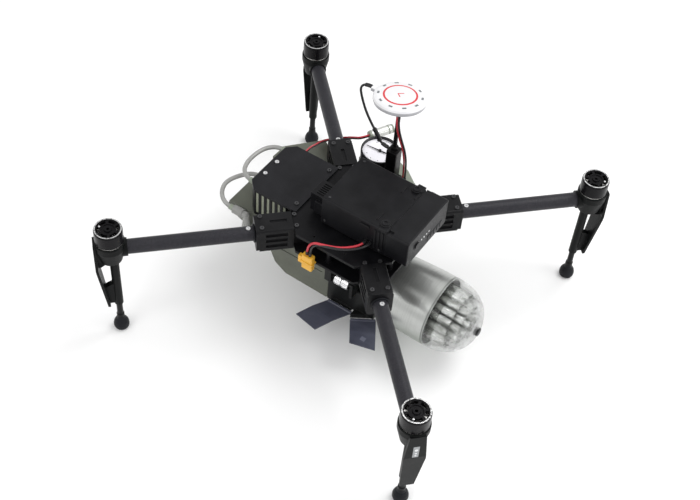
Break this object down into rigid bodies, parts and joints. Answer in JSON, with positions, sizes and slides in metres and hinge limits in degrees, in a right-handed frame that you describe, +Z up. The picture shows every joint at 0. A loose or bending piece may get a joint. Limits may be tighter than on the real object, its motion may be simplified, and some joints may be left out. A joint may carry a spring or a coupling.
{
  "type": "quadcopter with pneumatic payload",
  "caption": "X-frame carbon tube quadcopter with sprung legs, slide-out battery, raised satellite receiver, pressure gauge, hoses and a clear-domed capsule slung under the frame.",
  "frame": {"origin": "on the ground under the centre of the X-frame, midway between the feet", "axes": "+Z up, nose towards -Y, the aircraft's left side towards +X"},
  "size_m": [0.5092, 0.5092, 0.3201],
  "materials": {
    "frame_black": "satin fibre-reinforced plate",
    "carbon_tube": "woven carbon fibre under clear lacquer",
    "clamp_black": "fine moulded grain",
    "leg_black": "fine moulded grain",
    "rod_black": "satin",
    "boot_rubber": "matt",
    "motor_black": "satin anodised with a bright turned rim",
    "motor_alloy": "machined",
    "lens_clear": "frosted clear",
    "steel": "bright turned",
    "cover_charcoal": "fine grain",
    "bay_black": "fine grain",
    "olive": "semi-matt olive grey paint",
    "block_black": "satin",
    "flap_grey": "satin",
    "capsule_silver": "satin, brushed along its length",
    "dome_clear": "clear",
    "regulator_grey": "satin grey-green",
    "gauge_black": "gloss",
    "puck_white": "gloss",
    "hose_clear": "clear grey",
    "connector_yellow": "gloss",
    "wire": "smooth insulation"
  },
  "bodies": {
    "frame": {"frame_top_plate": "frame_black", "frame_bottom_plate": "frame_black", "front_grille": "frame_black", "arm_tube_fl": "carbon_tube", "arm_tube_fr": "carbon_tube", "arm_tube_rl": "carbon_tube", "arm_tube_rr": "carbon_tube", "arm_clamp_fl": "clamp_black", "arm_clamp_fr": "clamp_black", "arm_clamp_rl": "clamp_black", "arm_clamp_rr": "clamp_black", "leg_fl": "leg_black", "leg_fr": "leg_black", "leg_rl": "leg_black", "leg_rr": "leg_black", "gps_mast": "rod_black", "motor_bases": "motor_alloy", "leg_lenses": "lens_clear", "screws": "steel", "front_cover": "cover_charcoal", "battery_bay": "bay_black", "payload_hull": "olive", "payload_block": "block_black", "valve_tube": "block_black", "pod_body": "capsule_silver", "pod_tubes": "dome_clear", "regulator": "regulator_grey", "gauge_case": "gauge_black", "gps_puck": "puck_white", "hose_front": "hose_clear", "hose_side": "hose_clear", "hose_nozzle": "hose_clear", "power_connector": "connector_yellow", "battery_leads": "wire", "gps_cable": "wire", "solenoid_wires": "wire", "puck_wires": "wire"},
    "rotor_fl": {"motor_rotor_fl": "motor_black"},
    "foot_fl": {"foot_rod_fl": "rod_black", "foot_boot_fl": "boot_rubber"},
    "rotor_fr": {"motor_rotor_fr": "motor_black"},
    "foot_fr": {"foot_rod_fr": "rod_black", "foot_boot_fr": "boot_rubber"},
    "rotor_rl": {"motor_rotor_rl": "motor_black"},
    "foot_rl": {"foot_rod_rl": "rod_black", "foot_boot_rl": "boot_rubber"},
    "rotor_rr": {"motor_rotor_rr": "motor_black"},
    "foot_rr": {"foot_rod_rr": "rod_black", "foot_boot_rr": "boot_rubber"},
    "battery": {"battery": "bay_black"},
    "power_button": {"battery_button": "bay_black"},
    "latch_left": {"battery_latch_left": "bay_black"},
    "latch_right": {"battery_latch_right": "bay_black"},
    "collar_front": {"valve_collar_front": "steel"},
    "collar_rear": {"valve_collar_rear": "steel"},
    "flap_front": {"flap_front": "flap_grey"},
    "flap_rear": {"flap_rear": "flap_grey"},
    "needle": {"gauge_needle": "gauge_black"},
    "dome": {"pod_dome": "dome_clear", "dome_plug": "block_black"}
  },
  "joints": [
    {"name": "rotor_fl_spin", "type": "hinge", "parent": "frame", "child": "rotor_fl", "pos_m": [0.22981, -0.22981, 0.19], "axis": [0, 0, 1], "continuous": true},
    {"name": "rotor_fr_spin", "type": "hinge", "parent": "frame", "child": "rotor_fr", "pos_m": [-0.22981, -0.22981, 0.19], "axis": [0, 0, 1], "continuous": true},
    {"name": "rotor_rl_spin", "type": "hinge", "parent": "frame", "child": "rotor_rl", "pos_m": [0.22981, 0.22981, 0.19], "axis": [0, 0, 1], "continuous": true},
    {"name": "rotor_rr_spin", "type": "hinge", "parent": "frame", "child": "rotor_rr", "pos_m": [-0.22981, 0.22981, 0.19], "axis": [0, 0, 1], "continuous": true},
    {"name": "foot_fl_slide", "type": "slide", "parent": "frame", "child": "foot_fl", "axis": [0, 0, 1], "range_m": [0, 0.008], "stiffness_N_per_m": 3000, "springref_m": -0.001},
    {"name": "foot_fr_slide", "type": "slide", "parent": "frame", "child": "foot_fr", "axis": [0, 0, 1], "range_m": [0, 0.008], "stiffness_N_per_m": 3000, "springref_m": -0.001},
    {"name": "foot_rl_slide", "type": "slide", "parent": "frame", "child": "foot_rl", "axis": [0, 0, 1], "range_m": [0, 0.008], "stiffness_N_per_m": 3000, "springref_m": -0.001},
    {"name": "foot_rr_slide", "type": "slide", "parent": "frame", "child": "foot_rr", "axis": [0, 0, 1], "range_m": [0, 0.008], "stiffness_N_per_m": 3000, "springref_m": -0.001},
    {"name": "battery_slide", "type": "slide", "parent": "frame", "child": "battery", "axis": [0, 1, 0], "range_m": [0, 0.13]},
    {"name": "power_button_press", "type": "slide", "parent": "battery", "child": "power_button", "axis": [0, -1, 0], "range_m": [0, 0.0012], "stiffness_N_per_m": 900, "springref_m": -0.0005},
    {"name": "latch_left_press", "type": "slide", "parent": "frame", "child": "latch_left", "axis": [0, 0, -1], "range_m": [0, 0.002], "stiffness_N_per_m": 900, "springref_m": -0.0005},
    {"name": "latch_right_press", "type": "slide", "parent": "frame", "child": "latch_right", "axis": [0, 0, -1], "range_m": [0, 0.002], "stiffness_N_per_m": 900, "springref_m": -0.0005},
    {"name": "collar_front_turn", "type": "hinge", "parent": "frame", "child": "collar_front", "pos_m": [0.057, 0.0128, 0.109], "axis": [0, 1, 0], "range_deg": [0, 270]},
    {"name": "collar_rear_turn", "type": "hinge", "parent": "frame", "child": "collar_rear", "pos_m": [0.057, 0.0238, 0.109], "axis": [0, 1, 0], "range_deg": [0, 270]},
    {"name": "flap_front_tilt", "type": "hinge", "parent": "frame", "child": "flap_front", "pos_m": [0.054, 0.0145, 0.0475], "axis": [0, 1, 0], "range_deg": [-25, 50]},
    {"name": "flap_rear_tilt", "type": "hinge", "parent": "frame", "child": "flap_rear", "pos_m": [0.05625, 0.05375, 0.0495], "axis": [-0.5514, 0.8342, 0], "range_deg": [-25, 50]},
    {"name": "needle_turn", "type": "hinge", "parent": "frame", "child": "needle", "pos_m": [-0.1119, -0.0405, 0.183], "axis": [0, 0, -1], "range_deg": [0, 270]},
    {"name": "dome_off", "type": "slide", "parent": "frame", "child": "dome", "axis": [0, 1, 0], "range_m": [0, 0.06]}
  ]
}
